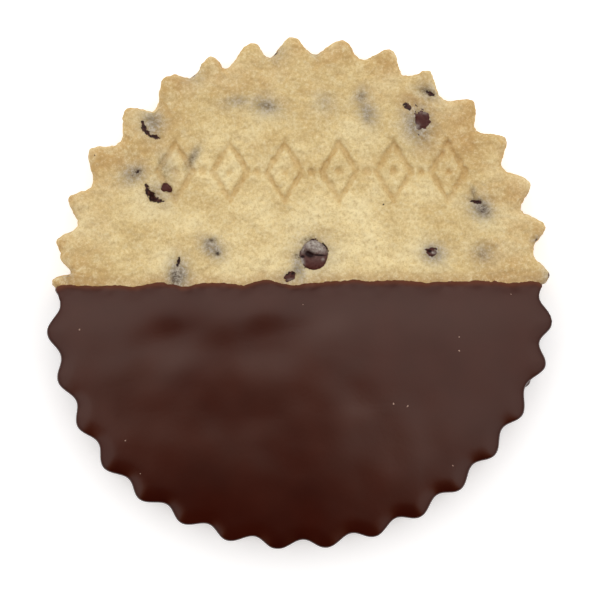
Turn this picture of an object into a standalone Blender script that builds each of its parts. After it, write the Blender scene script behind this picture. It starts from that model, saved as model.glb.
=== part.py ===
"""Half-dipped shortbread: a toothed round biscuit with chocolate chips, and the chocolate coat on its lower half.

The biscuit lies flat, face up. Angles run anticlockwise from +X as seen from above, +Y is the bare
end and -Y the dipped end. Lengths are in metres, and the origin is under the middle, on the table.
"""

import math

import bmesh
import bpy
from mathutils import Matrix, Vector

MM = 0.001

# The round, as the cutter left it and the oven spread it.
TOOTH_COUNT = 33
BISCUIT_RADIUS = 37.1 * MM  # to the tips of the teeth, on the dipped side
BARE_STRETCH = 1.25 * MM  # the bare end has spread this much further from the middle
SKEW = 0.38 * MM  # long across one diagonal, short across the other
TOOTH_DEPTH = 2.4 * MM
TOOTH_SHARPNESS = 0.85  # under 1, the tips are narrower than the valleys
TOOTH_LEAN = 0.04  # each tip stands this share of a pitch clockwise of its middle
FIRST_TOOTH = 3.7  # degrees
EVEN_DRIFT = (0.75, 10.0)  # the teeth drift round by this many degrees, most at this angle
# Stretches of the rim where the dough was pushed round: middle, half width and shift, in degrees.
RIM_PUSHES = (
    (87, 5, 0.8),
    (119, 17, -1.5),
    (154, 14, 1.6),
    (175, 5, -0.9),
    (202, 18, 0.5),
    (252, 20, -0.75),
    (338, 5, 0.9),
)
# Where the rim swells or sinks: middle and half width in degrees, and height in millimetres.
RIM_SWELLS = ((147, 6, 0.3), (174, 9, -0.5), (224, 11, 0.6))

BISCUIT_HEIGHT = 8.5 * MM
CROWN = 0.22 * MM  # the face rises this much to its middle
EDGE_ROUNDING = 1.0 * MM
BASE_ROUNDING = 0.4 * MM

# The coat.
COAT_SIDE = 0.95 * MM  # beyond the tips of the teeth
COAT_TOOTH_DEPTH = 1.68 * MM  # the chocolate half fills the valleys
COAT_SIDE_AT_LINE = 0.65 * MM  # it thins out towards the dip line, over about this far
COAT_THINNING = 5.0 * MM
COAT_TOP = 1.0 * MM
COAT_UNDER = 0.9 * MM
COAT_ROUNDING = 1.5 * MM
FIT = 0.3 * MM  # between the biscuit and its coat
DIP_LINE = 1.55 * MM  # the coat ends this far above the middle of the round
DIP_TILT = 0.011  # it climbs to the right by this share of its length
# Tongues and notches of the dip line, in millimetres: place along X, half width, and rise.
DIP_WAVES = (
    (-21.2, 1.8, 0.4),
    (-17.4, 1.5, -0.6),
    (-5.0, 1.6, 0.65),
    (-1.6, 1.5, -0.8),
    (7.6, 2.0, 0.5),
)
# Soft swells of the set chocolate's face, in millimetres: place, half width and rise.
COAT_SWELLS = ((-14.0, -9.0, 7.0, -0.14), (9.0, -7.0, 8.0, 0.1), (-2.0, -24.0, 9.0, -0.1))

# The chips that show in the face: place, length, width, turn in degrees, and rise.
CHIPS = (
    (2.05, 5.95, 4.2, 3.7, 20, 0.35),
    (-1.4, 2.8, 2.0, 1.5, 30, 0.22),
    (17.5, 26.3, 3.0, 2.5, 60, 0.3),
    (16.2, 27.9, 1.6, 1.3, -30, 0.2),
    (19.5, 29.9, 1.8, 1.1, -15, 0.2),
    (26.1, 13.5, 2.4, 1.3, -10, 0.22),
    (19.6, 6.2, 2.0, 1.5, 0, 0.25),
    (-21.4, 14.9, 3.2, 1.4, -44, 0.22),
    (-19.7, 15.8, 1.7, 1.4, -30, 0.2),
    (-21.8, 24.5, 3.0, 1.5, -50, 0.2),
)
CHIP_DEPTH = 1.2 * MM
# Small pits and cracks beside them: place, length, width and turn.
PITS = (
    (-22.4, 16.6, 2.4, 0.6, -52),
    (-22.9, 26.0, 1.8, 0.7, 40),
    (-18.1, 4.9, 0.7, 1.8, 8),
    (-25.1, 17.8, 1.5, 1.0, 20),
    (-13.2, 7.2, 1.3, 1.1, 0),
    (25.0, 12.1, 1.7, 0.6, 12),
    (12.4, 13.3, 0.6, 0.6, 0),
    (-31.2, 20.5, 0.6, 0.6, 0),
)
PIT_DEPTH = 0.45 * MM

# The ornament that the cutter's stamp pressed in: a row of lozenges, with a dot in and between them.
STAMP_MIDDLE = (1.8 * MM, 18.0 * MM)
LOZENGE_COUNT = 6
LOZENGE_PITCH = 8.1 * MM
LOZENGE_HALF_WIDTH = 2.6 * MM
LOZENGE_HALF_HEIGHT = 4.2 * MM
STROKE_RADIUS = 0.6 * MM
DOT_RADIUS = 0.8 * MM
STAMP_DEPTH = 0.42 * MM

# How finely the shapes are cut into faces.
TOOTH_STEPS = 8
LINER_TOOTH_STEPS = 6
DIP_STEPS = 44

# Heights of the pieces over the table.
BISCUIT_BASE = COAT_UNDER + FIT
BISCUIT_FACE = BISCUIT_BASE + BISCUIT_HEIGHT
COAT_FACE = BISCUIT_FACE + FIT + COAT_TOP


def bell(distance, half_width):
    """1 at no distance, falling smoothly to 0.37 at the half width."""
    return math.exp(-((distance / half_width) ** 2))


def rim_angle(turn):
    """The direction, in radians, of a place that lies this share of the way round the teeth."""
    even = 360.0 * turn
    drift, where = EVEN_DRIFT
    angle = even + FIRST_TOOTH + drift * math.cos(math.radians(even - where))
    for middle, half_width, shift in RIM_PUSHES:
        away = (even - middle + 180.0) % 360.0 - 180.0
        angle += shift * bell(away, half_width)
    return math.radians(angle)


def tooth_drop(turn, sharpness):
    """0 at the tip of a tooth and 1 in the valley between two."""
    place = (turn * TOOTH_COUNT + 0.5 - TOOTH_LEAN) % 1.0
    tip = 0.5 - TOOTH_LEAN
    share = (tip - place) / tip if place < tip else (place - tip) / (1.0 - tip)
    return math.sin(0.5 * math.pi * share**sharpness) ** 2


def tip_radius(angle):
    """How far the teeth of the biscuit reach in this direction."""
    radius = BISCUIT_RADIUS + BARE_STRETCH * max(0.0, math.sin(angle)) + SKEW * math.sin(2.0 * angle)
    for middle, half_width, height in RIM_SWELLS:
        away = (math.degrees(angle) - middle + 180.0) % 360.0 - 180.0
        radius += height * MM * bell(away, half_width)
    return radius


def rim_point(turn, inset, coated=False):
    """A point of the biscuit's rim or, where coated, of the coat's, moved inwards by the inset."""
    angle = rim_angle(turn)
    radius = tip_radius(angle) - inset
    if coated:
        below = DIP_LINE - BISCUIT_RADIUS * math.sin(angle)
        thin = bell(below, COAT_THINNING)
        radius += COAT_SIDE + thin * (COAT_SIDE_AT_LINE - COAT_SIDE)
        depth = COAT_TOOTH_DEPTH + thin * (TOOTH_DEPTH - COAT_TOOTH_DEPTH)
        radius -= depth * tooth_drop(turn, 1.0)
    else:
        radius -= TOOTH_DEPTH * tooth_drop(turn, TOOTH_SHARPNESS)
    return Vector((radius * math.cos(angle), radius * math.sin(angle)))


def dip_line(x):
    """How far up, in Y, the chocolate reaches at this X."""
    waves = sum(rise * bell(x / MM - place, half_width) for place, half_width, rise in DIP_WAVES)
    return DIP_LINE + DIP_TILT * x + waves * MM


def ring_at(points, height):
    return [Vector((p.x, p.y, height)) for p in points]


def shrunk(points, middle, share, height_of):
    """A ring drawn in to this share of its size, lifted to the height of the face at each point."""
    drawn = [middle + (p.xy - middle) * share for p in points]
    return [Vector((p.x, p.y, height_of(p))) for p in drawn]


def loft(name, rings, apex):
    """A closed solid through rings of equal length, from its flat base up to a point on its face."""
    shape = bmesh.new()
    loops = [[shape.verts.new(p) for p in ring] for ring in rings]
    count = len(rings[0])
    shape.faces.new(reversed(loops[0]))
    for lower, upper in zip(loops, loops[1:]):
        for i in range(count):
            j = (i + 1) % count
            shape.faces.new((lower[i], lower[j], upper[j], upper[i]))
    top = shape.verts.new(apex)
    for i in range(count):
        shape.faces.new((loops[-1][i], loops[-1][(i + 1) % count], top))
    mesh = bpy.data.meshes.new(name)
    shape.to_mesh(mesh)
    shape.free()
    return bpy.data.objects.new(name, mesh)


def biscuit_face(place):
    """The height of the biscuit's face: a low crown."""
    spread = place.length / BISCUIT_RADIUS
    return BISCUIT_FACE + CROWN * (1.0 - min(1.0, spread * spread))


def biscuit(name, grow, tooth_steps, face_rings):
    """The whole round, or with some growth the room that it takes in the coat."""
    count = TOOTH_COUNT * tooth_steps
    turns = [i / count for i in range(count)]
    base, face = BISCUIT_BASE - grow, BISCUIT_FACE + grow
    profile = (
        (BASE_ROUNDING, base),
        (0.0, base + BASE_ROUNDING),
        (0.15 * MM, face - EDGE_ROUNDING),
        (0.4 * EDGE_ROUNDING, face - 0.3 * EDGE_ROUNDING),
        (EDGE_ROUNDING, face),
    )
    rings = [ring_at([rim_point(t, inset - grow) for t in turns], z) for inset, z in profile]
    rim = rings[-1]
    for share in face_rings:
        rings.append(shrunk(rim, Vector((0.0, 0.0)), share, lambda p: biscuit_face(p) + grow))
    return loft(name, rings, (0.0, 0.0, face + CROWN))


def coat_face(place):
    """The height of the chocolate's face, which swells and sinks a little as it set."""
    height = COAT_FACE
    for x, y, half_width, rise in COAT_SWELLS:
        height += rise * MM * bell((place - Vector((x, y)) * MM).length, half_width * MM)
    return height


def coated_turns():
    """The shares of the way round at which the coat's rim lies under the dip line."""
    count = TOOTH_COUNT * TOOTH_STEPS
    under = []
    for i in range(count // 4, count + count // 4):
        point = rim_point(i / count, 0.0, coated=True)
        if point.y < dip_line(point.x) - 0.3 * MM:
            under.append(i / count)
    return under


def coat_ring(turns, inset, height):
    """The coat's outline, moved inwards: its toothed arc, then back along the dip line."""
    corner_reach = 6.0 * MM
    ring = []
    for turn in turns:
        point = rim_point(turn, inset, coated=True)
        below = (dip_line(point.x) - point.y) / corner_reach
        point.y -= inset * max(0.0, 1.0 - below) ** 2
        ring.append(point)
    start, end = ring[-1].x, ring[0].x
    for i in range(1, DIP_STEPS):
        x = start + (end - start) * i / DIP_STEPS
        ring.append(Vector((x, dip_line(x) - inset)))
    return ring_at(ring, height)


def coat(name, biscuit_room):
    """The chocolate: a pillow with a toothed rim, less the room that the biscuit takes."""
    turns = coated_turns()
    profile = (
        (0.7 * MM, 0.0),
        (0.15 * MM, 0.3 * MM),
        (0.0, 1.0 * MM),
        (0.1 * MM, 0.5 * COAT_FACE),
        (0.15 * MM, COAT_FACE - COAT_ROUNDING),
        (0.3 * COAT_ROUNDING, COAT_FACE - 0.45 * COAT_ROUNDING),
        (0.65 * COAT_ROUNDING, COAT_FACE - 0.14 * COAT_ROUNDING),
    )
    rings = [coat_ring(turns, inset, z) for inset, z in profile]
    rim = coat_ring(turns, 1.2 * COAT_ROUNDING, 0.0)
    middle = Vector((0.0, -15.0 * MM))
    for share in (1.0, 0.75, 0.5, 0.25):
        rings.append(shrunk(rim, middle, share, coat_face))
    piece = loft(name, rings, (middle.x, middle.y, coat_face(middle)))
    cut = piece.modifiers.new("Room for the biscuit", "BOOLEAN")
    cut.operation = "DIFFERENCE"
    cut.object = biscuit_room
    return piece


def add_pebble(name, place, radii, turn, collection):
    """A low rounded lump, flattened and turned, for a chip or for a dot of the stamp."""
    shape = bmesh.new()
    bmesh.ops.create_uvsphere(shape, u_segments=12, v_segments=8, radius=1.0)
    mesh = bpy.data.meshes.new(name)
    shape.transform(Matrix.Diagonal((*radii, 1.0)))
    shape.transform(Matrix.Rotation(turn, 4, "Z"))
    shape.to_mesh(mesh)
    shape.free()
    pebble = bpy.data.objects.new(name, mesh)
    pebble.location = place
    collection.objects.link(pebble)
    return pebble


def add_chips(collection):
    """The chips that break through the face, as low domes on the biscuit."""
    for i, (x, y, length, width, turn, rise) in enumerate(CHIPS):
        place = Vector((x, y)) * MM
        height = biscuit_face(place) + rise * MM - CHIP_DEPTH
        radii = (0.5 * length * MM, 0.5 * width * MM, CHIP_DEPTH)
        add_pebble(f"chip_{i}", (*place, height), radii, math.radians(turn), collection)


def stamp_height(place, radius):
    """Where a round stroke lies so that it presses the stamp's depth into the face."""
    return biscuit_face(place) + radius - STAMP_DEPTH


def add_lozenge(name, middle, collection):
    """A closed round stroke along the four sides of a lozenge, for cutting its groove."""
    curve = bpy.data.curves.new(name, "CURVE")
    curve.dimensions = "3D"
    curve.bevel_depth = STROKE_RADIUS
    curve.bevel_resolution = 1
    sides = curve.splines.new("POLY")
    sides.points.add(3)
    sides.use_cyclic_u = True
    steps = ((1, 0), (0, 1), (-1, 0), (0, -1))
    for point, (across, up) in zip(sides.points, steps):
        corner = middle + Vector((across * LOZENGE_HALF_WIDTH, up * LOZENGE_HALF_HEIGHT))
        point.co = (*corner, stamp_height(corner, STROKE_RADIUS), 1.0)
    guide = bpy.data.objects.new(name + "_line", curve)
    collection.objects.link(guide)
    bpy.context.view_layer.update()
    seen = guide.evaluated_get(bpy.context.evaluated_depsgraph_get())
    mesh = bpy.data.meshes.new_from_object(seen)
    shape = bmesh.new()
    shape.from_mesh(mesh)
    bmesh.ops.remove_doubles(shape, verts=shape.verts, dist=0.01 * MM)
    shape.to_mesh(mesh)
    shape.free()
    lozenge = bpy.data.objects.new(name, mesh)
    lozenge.matrix_world = guide.matrix_world
    bpy.data.objects.remove(guide)
    collection.objects.link(lozenge)


def add_pits(collection):
    """The cutters of the small pits and cracks in the face."""
    for i, (x, y, length, width, turn) in enumerate(PITS):
        place = Vector((x, y)) * MM
        radii = (0.5 * length * MM, 0.5 * width * MM, PIT_DEPTH)
        add_pebble(f"pit_{i}", (*place, biscuit_face(place)), radii, math.radians(turn), collection)


def add_dot(name, middle, collection):
    radii = (DOT_RADIUS, DOT_RADIUS, DOT_RADIUS)
    place = (*middle, stamp_height(middle, DOT_RADIUS))
    add_pebble(name, place, radii, 0.0, collection)


def add_stamp(collection):
    """The cutters of the pressed row: a lozenge and its dot, and a dot before the next lozenge."""
    left = -0.5 * (LOZENGE_COUNT - 1) * LOZENGE_PITCH
    for i in range(LOZENGE_COUNT):
        middle = Vector(STAMP_MIDDLE) + Vector((left + i * LOZENGE_PITCH, 0.0))
        add_lozenge(f"stamp_lozenge_{i}", middle, collection)
        add_dot(f"stamp_dot_{i}", middle, collection)
        if i < LOZENGE_COUNT - 1:
            between = middle + Vector((0.5 * LOZENGE_PITCH, 0.0))
            add_dot(f"stamp_space_{i}", between, collection)


def join_and_cut(piece, lumps, cutters):
    """Fuses the lumps with the piece for good, and leaves the cutters on it as a cut."""
    fuse = piece.modifiers.new("Chips", "BOOLEAN")
    fuse.operation = "UNION"
    fuse.operand_type = "COLLECTION"
    fuse.collection = lumps
    bpy.context.view_layer.objects.active = piece
    bpy.ops.object.modifier_apply(modifier=fuse.name)
    for lump in list(lumps.objects):
        bpy.data.objects.remove(lump)
    bpy.data.collections.remove(lumps)
    press = piece.modifiers.new("Stamp and pits", "BOOLEAN")
    press.operation = "DIFFERENCE"
    press.operand_type = "COLLECTION"
    press.collection = cutters


def hide_helper(helper):
    helper.hide_render = True
    helper.display_type = "WIRE"


def new_collection(name):
    collection = bpy.data.collections.new(name)
    bpy.context.scene.collection.children.link(collection)
    return collection


def new_material(name, colour, roughness):
    material = bpy.data.materials.new(name)
    material.use_nodes = True
    surface = material.node_tree.nodes["Principled BSDF"]
    surface.inputs["Base Color"].default_value = (*colour, 1.0)
    surface.inputs["Roughness"].default_value = roughness
    surface.inputs["Metallic"].default_value = 0.0
    return material


def finish_piece(piece, material):
    piece.data.materials.append(material)
    piece.data.shade_smooth()
    piece.data.set_sharp_from_angle(angle=math.radians(50.0))


def stand_over_origin(pieces, helpers):
    """Slides everything so that the middle of the pieces' common box is over the origin."""
    bpy.context.view_layer.update()
    corners = [p.matrix_world @ Vector(c) for p in pieces for c in p.bound_box]
    low = Vector([min(c[i] for c in corners) for i in range(3)])
    high = Vector([max(c[i] for c in corners) for i in range(3)])
    shift = Vector((-0.5 * (low.x + high.x), -0.5 * (low.y + high.y), -low.z))
    for item in (*pieces, *helpers):
        item.location += shift


def build():
    for item in list(bpy.data.objects):
        bpy.data.objects.remove(item)
    pieces = new_collection("half_dipped_shortbread")
    cutters = new_collection("cutters")
    lumps = new_collection("lumps")

    shortbread = biscuit("shortbread", 0.0, TOOTH_STEPS, (0.8, 0.5, 0.25))
    pieces.objects.link(shortbread)
    add_chips(lumps)
    add_stamp(cutters)
    add_pits(cutters)
    join_and_cut(shortbread, lumps, cutters)

    room = biscuit("biscuit_room", FIT, LINER_TOOTH_STEPS, (0.5,))
    bpy.context.scene.collection.objects.link(room)
    chocolate = coat("chocolate_coat", room)
    pieces.objects.link(chocolate)

    finish_piece(shortbread, new_material("shortbread_dough", (0.69, 0.51, 0.26), 0.85))
    finish_piece(chocolate, new_material("dark_chocolate", (0.045, 0.015, 0.009), 0.35))
    helpers = [room, *cutters.objects]
    for helper in helpers:
        hide_helper(helper)
    stand_over_origin([shortbread, chocolate], helpers)


build()
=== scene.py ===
import math

import bpy
import numpy as np
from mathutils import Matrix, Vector, kdtree, noise
from mathutils.bvhtree import BVHTree


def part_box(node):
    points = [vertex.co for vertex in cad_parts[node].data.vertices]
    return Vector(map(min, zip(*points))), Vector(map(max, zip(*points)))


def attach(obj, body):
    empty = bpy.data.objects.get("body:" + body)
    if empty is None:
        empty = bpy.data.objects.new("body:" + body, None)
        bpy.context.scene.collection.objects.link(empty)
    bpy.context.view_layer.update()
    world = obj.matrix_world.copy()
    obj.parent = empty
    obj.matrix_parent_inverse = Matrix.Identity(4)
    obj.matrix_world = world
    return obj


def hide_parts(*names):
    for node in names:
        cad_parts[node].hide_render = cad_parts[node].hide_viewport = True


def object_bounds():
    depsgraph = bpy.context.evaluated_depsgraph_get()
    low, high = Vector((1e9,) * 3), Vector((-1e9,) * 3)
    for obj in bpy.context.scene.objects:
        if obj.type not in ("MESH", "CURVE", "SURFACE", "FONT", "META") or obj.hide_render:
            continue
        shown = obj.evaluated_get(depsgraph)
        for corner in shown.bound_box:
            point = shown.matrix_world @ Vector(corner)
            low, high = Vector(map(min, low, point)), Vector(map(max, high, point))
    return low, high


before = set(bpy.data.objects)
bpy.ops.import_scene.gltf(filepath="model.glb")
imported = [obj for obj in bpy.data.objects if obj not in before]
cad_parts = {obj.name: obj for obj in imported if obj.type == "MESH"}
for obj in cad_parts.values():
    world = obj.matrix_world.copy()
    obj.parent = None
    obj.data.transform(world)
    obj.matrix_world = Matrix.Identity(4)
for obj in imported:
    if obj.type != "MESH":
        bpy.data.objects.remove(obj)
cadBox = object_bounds()
print("frame loaded:", sorted(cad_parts))

mm = 0.001


# picking, copying and finishing pieces

def pickOnly(piece):
    for other in bpy.context.selected_objects:
        other.select_set(False)
    piece.select_set(True)
    bpy.context.view_layer.objects.active = piece


def copyOfNode(node, name):
    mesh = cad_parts[node].data.copy()
    mesh.materials.clear()
    piece = bpy.data.objects.new(name, mesh)
    bpy.context.scene.collection.objects.link(piece)
    pickOnly(piece)
    bpy.ops.object.mode_set(mode="EDIT")
    bpy.ops.mesh.select_all(action="SELECT")
    bpy.ops.mesh.remove_doubles(threshold=1e-6)
    bpy.ops.object.mode_set(mode="OBJECT")
    return piece


def applyModifier(piece, kind, **settings):
    pickOnly(piece)
    modifier = piece.modifiers.new(kind.title(), kind)
    for key, value in settings.items():
        setattr(modifier, key, value)
    bpy.ops.object.modifier_apply(modifier=modifier.name)


def voxelMesh(piece, size):
    applyModifier(piece, "REMESH", mode="VOXEL", voxel_size=size * mm, adaptivity=0.0)


def soften(piece, passes):
    applyModifier(piece, "SMOOTH", factor=0.5, iterations=passes)


def joinPieces(pieces, name):
    pickOnly(pieces[0])
    for piece in pieces:
        piece.select_set(True)
    bpy.ops.object.join()
    joined = bpy.context.view_layer.objects.active
    joined.name = name
    return joined


def finishPiece(piece, material, node=None):
    piece.data.materials.clear()
    piece.data.materials.append(material)
    piece.data.shade_smooth()
    if node:
        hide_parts(node)
    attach(piece, "root")
    triangles = sum(len(face.vertices) - 2 for face in piece.data.polygons)
    print(piece.name, "has", triangles, "triangles")


# points of a mesh as rows of x, y and z in millimetres

def pointsOf(piece):
    flat = np.empty(len(piece.data.vertices) * 3)
    piece.data.vertices.foreach_get("co", flat)
    return flat.reshape(-1, 3) / mm


def movePoints(piece, points):
    piece.data.vertices.foreach_set("co", (points * mm).ravel())
    piece.data.update()


def normalsOf(piece):
    flat = np.empty(len(piece.data.vertices) * 3)
    piece.data.vertices.foreach_get("normal", flat)
    return flat.reshape(-1, 3)


def paintValue(piece, name, values):
    layer = piece.data.attributes.new(name, "FLOAT", "POINT")
    layer.data.foreach_set("value", np.clip(values, 0.0, 1.0).astype(np.float32))


# soft falls, distances and unevenness, all in millimetres

def bell(distance, halfWidth):
    return np.exp(-((distance / halfWidth) ** 2))


def smoothStep(low, high, value):
    share = np.clip((value - low) / (high - low), 0.0, 1.0)
    return share * share * (3.0 - 2.0 * share)


def turned(flat, middle, turn):
    angle = math.radians(turn)
    away = flat - np.array(middle)
    along = away[:, 0] * math.cos(angle) + away[:, 1] * math.sin(angle)
    across = away[:, 1] * math.cos(angle) - away[:, 0] * math.sin(angle)
    return along, across


def spotShare(flat, middle, halfSizes, turn):
    along, across = turned(flat, middle, turn)
    return np.exp(-((along / halfSizes[0]) ** 2) - (across / halfSizes[1]) ** 2)


def strongestSpot(flat, places, spread=1.0):
    # each place is a middle, half sizes, turn and strength
    share = np.zeros(len(flat))
    for middle, halfSizes, turn, strength in places:
        sizes = [spread * size for size in halfSizes]
        share = np.maximum(share, strength * spotShare(flat, middle, sizes, turn))
    return share


def crackShare(flat, path):
    # 0 on the middle of a crack, 1 on its edge: the path's stops are x, y and half width
    nearest = np.full(len(flat), np.inf)
    stops = path if len(path) > 1 else path * 2  # one stop alone is a round pit
    for start, end in zip(stops, stops[1:]):
        run = np.array(end[:2]) - np.array(start[:2])
        away = flat - np.array(start[:2])
        share = np.clip(away @ run / max(run @ run, 1e-9), 0.0, 1.0)
        gap = away - share[:, None] * run
        halfWidth = start[2] + share * (end[2] - start[2])
        nearest = np.minimum(nearest, np.hypot(gap[:, 0], gap[:, 1]) / halfWidth)
    return nearest


def unevenness(points, size, octaves=2, keep=0.6):
    # smooth noise at every point, mostly between -0.5 and 0.5
    return np.array([noise.fractal(Vector(point), keep, 2.0, octaves) for point in points / size])


def aroundRim(flat):
    return np.degrees(np.arctan2(flat[:, 1], flat[:, 0])) % 360.0


def angleAway(angles, middle):
    return (angles - middle + 180.0) % 360.0 - 180.0


# node trees

def paint(red, green, blue):
    def linear(value):
        value /= 255.0
        return value / 12.92 if value <= 0.04045 else ((value + 0.055) / 1.055) ** 2.4
    return (linear(red), linear(green), linear(blue), 1.0)


def newMaterial(name):
    material = bpy.data.materials.new(name)
    material.use_nodes = True
    tree = material.node_tree
    return material, tree, tree.nodes["Principled BSDF"]


def addNode(tree, kind, inputs=None, **settings):
    made = tree.nodes.new(kind)
    for key, value in settings.items():
        setattr(made, key, value)
    for key, value in (inputs or {}).items():
        if isinstance(value, bpy.types.NodeSocket):
            tree.links.new(value, made.inputs[key])
        else:
            made.inputs[key].default_value = value
    return made


def mixColour(tree, share, first, second):
    return addNode(tree, "ShaderNodeMix", {0: share, 6: first, 7: second}, data_type="RGBA").outputs[2]


def calculate(tree, operation, first, second=0.0):
    return addNode(tree, "ShaderNodeMath", {0: first, 1: second}, operation=operation).outputs[0]


def stretch(tree, value, low, high, toLow=0.0, toHigh=1.0):
    inputs = {"Value": value, "From Min": low, "From Max": high, "To Min": toLow, "To Max": toHigh}
    return addNode(tree, "ShaderNodeMapRange", inputs).outputs["Result"]


def readValue(tree, name):
    return addNode(tree, "ShaderNodeAttribute", attribute_name=name).outputs["Fac"]


def noiseValue(tree, place, size, detail=2.0, roughness=0.5):
    inputs = {"Vector": place, "Scale": 1.0 / size, "Detail": detail, "Roughness": roughness}
    return addNode(tree, "ShaderNodeTexNoise", inputs).outputs["Fac"]


def addBump(tree, surface, heights, distance, strength):
    bump = addNode(tree, "ShaderNodeBump", {"Height": heights, "Distance": distance, "Strength": strength})
    tree.links.new(bump.outputs["Normal"], surface.inputs["Normal"])


# the dough: the whole toothed round, dense where it shows

dough = {
    "height": 8.5,
    "crown": 0.22,
    "faceRadius": 37.1,
    "levelledRadius": 32.5,
    "levelledAbove": 8.9,
    "faceDepth": (-1.3, -0.3),  # what is done to the face fades in between these depths
    "voxel": 0.225,
    "hiddenBelow": -3.0,  # y of the biscuit inside the coat, where a coarse mesh is enough
    "hiddenHeight": 0.25,  # or this close to the underside
    "hiddenRoughness": (1.5, 0.1),  # size and height
    "keptShare": 0.415,
    "smoothing": 8,
    "lobes": 0.15,  # the teeth fill out sideways by this much, into rounder lobes
    "lobeRadii": (31.0, 34.0),
    "growth": 0.02,
    "deepening": 0.2,  # tips reach out and valleys in by this share, as smoothing takes some off
    "middleRadius": 36.7,
    "toothReach": 1.6,  # how far tips and valleys lie from the middle radius
    "toothRadii": (29.0, 35.0),  # the push on the teeth fades in between these radii
    "relief": ((4.5, 0.18), (1.6, 0.2), (0.7, 0.15)),  # size and height of each kind of unevenness
    "crackWidth": 1.2,  # in half widths of the crack, as are the edges of what shows in it
    "crackShown": (0.3, 1.7),
    "toast": 0.2,  # browning of the middle, then more outwards and down the walls: from, to, how much
    "toastOutwards": ((10.0, 24.0, 0.35), (24.0, 36.0, 0.3)),
    "toastDownwards": ((8.5, 2.0, 0.12), (2.2, 1.3, 0.3)),
    "brownedHeights": (5.0, 9.0),  # the places that browned more fade in between these heights
    "browning": 0.75,
    "greySpread": 1.15,
    "wallSpotBrown": (0.2, 0.75),  # core and strength of a bit on a wall
    "wallSpotGrey": (1.8, 0.5),  # reach and strength of the grey round it
}

# teeth that the oven pushed round or out: middle and half width, turn in degrees, outward in mm
pushedTeeth = [
    (10.6, 1.8, 0.4, 0.5),
    (15.0, 2.5, 0.0, 0.3),
    (26.0, 2.5, -0.5, 0.0),
    (57.5, 2.5, 0.8, -0.45),
    (80.2, 2.0, 0.0, -0.3),
    (97.1, 2.0, 0.5, -0.3),
    (101.3, 2.2, -0.8, -0.4),
    (107.9, 1.6, 0.8, -0.2),
    (111.0, 2.2, -0.9, -0.4),
    (116.6, 1.3, 0.5, 0.5),
    (119.0, 2.5, -1.1, 0.4),
    (129.0, 2.2, 0.0, -0.4),
    (168.5, 2.5, 0.0, 0.3),
    (171.5, 1.2, 0.0, 1.3),
    (173.4, 2.0, 1.6, 0.0),
    (178.2, 1.4, 0.0, 0.5),
    (344.0, 2.5, 0.0, 0.3),
]

# the pressed row of lozenges, with dots in them and between them
stamp = {
    "middle": (1.8, 18.0),
    "count": 6,
    "pitch": 8.1,
    "halfWidth": 2.6,
    "halfHeight": 4.2,
    "stroke": 0.62,
    "dot": 0.85,
    "depth": 0.5,
}

# grey shadows of chips that lie just under the face: place, half sizes, turn, strength
greySpots = [
    ((-21.9, 25.2), (1.5, 2.0), 10, 0.8),
    ((-24.75, 17.6), (1.9, 1.4), 20, 0.75),
    ((-9.2, 28.4), (2.3, 1.0), 8, 0.5),
    ((-5.1, 27.8), (2.2, 1.35), -12, 0.7),
    ((9.2, 29.0), (1.2, 1.4), 0, 0.6),
    ((10.1, 26.8), (1.3, 1.9), 25, 0.7),
    ((3.8, 28.2), (1.6, 1.5), 0, 0.38),
    ((17.5, 25.1), (2.1, 2.8), 10, 0.85),
    ((19.2, 29.8), (1.8, 1.3), -20, 0.6),
    ((26.9, 12.6), (1.9, 1.6), -40, 0.85),
    ((25.8, 14.9), (0.6, 1.0), 0, 0.35),
    ((27.3, 6.0), (1.7, 1.5), 0, 0.5),
    ((-12.9, 6.7), (1.9, 1.3), -38, 0.85),
    ((-18.0, 2.7), (1.5, 2.2), 0, 1.0),
    ((-18.1, 3.9), (0.5, 1.2), 0, 0.6),
    ((1.9, 5.8), (2.7, 2.7), 0, 0.6),
    ((-0.1, 3.8), (1.0, 2.1), 12, 0.8),
    ((-1.5, 2.3), (1.7, 1.2), 30, 0.5),
    ((19.9, 5.9), (1.7, 1.4), -10, 0.9),
    ((-21.0, 14.9), (2.1, 1.7), -40, 0.5),
    ((-19.6, 18.9), (2.5, 0.9), -61, 0.35),
    ((-15.8, 20.2), (2.0, 0.7), 63, 0.5),
]

# darker smudges in and beside them: place, half sizes, turn, strength
smudges = [
    ((-22.3, 26.6), (1.1, 0.9), 0, 0.2),
    ((-24.0, 18.0), (0.7, 0.5), 20, 0.7),
    ((-4.5, 27.7), (1.0, 0.5), -12, 0.4),
    ((9.2, 29.3), (0.5, 0.6), 0, 0.45),
    ((9.9, 26.0), (0.4, 0.5), 20, 0.4),
    ((18.9, 29.9), (1.0, 0.5), -20, 0.6),
    ((27.3, 12.4), (1.2, 0.8), -40, 0.75),
    ((25.8, 14.9), (0.4, 0.8), 0, 0.5),
    ((27.0, 5.6), (0.7, 0.4), -30, 0.35),
    ((-13.1, 7.8), (0.8, 0.3), 10, 0.75),
    ((-12.2, 5.85), (0.4, 0.4), 0, 0.95),
    ((-13.7, 7.0), (0.3, 0.6), 0, 0.4),
    ((-18.4, 2.3), (0.8, 1.1), 0, 0.75),
    ((-0.2, 5.5), (0.5, 0.5), 0, 0.85),
    ((1.2, 7.9), (1.1, 0.4), 20, 0.6),
    ((-0.6, 3.3), (0.4, 0.5), 0, 0.45),
    ((-15.9, 20.0), (0.6, 1.6), -28, 0.45),
    ((-20.0, 18.0), (0.5, 2.0), 25, 0.35),
]

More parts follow.
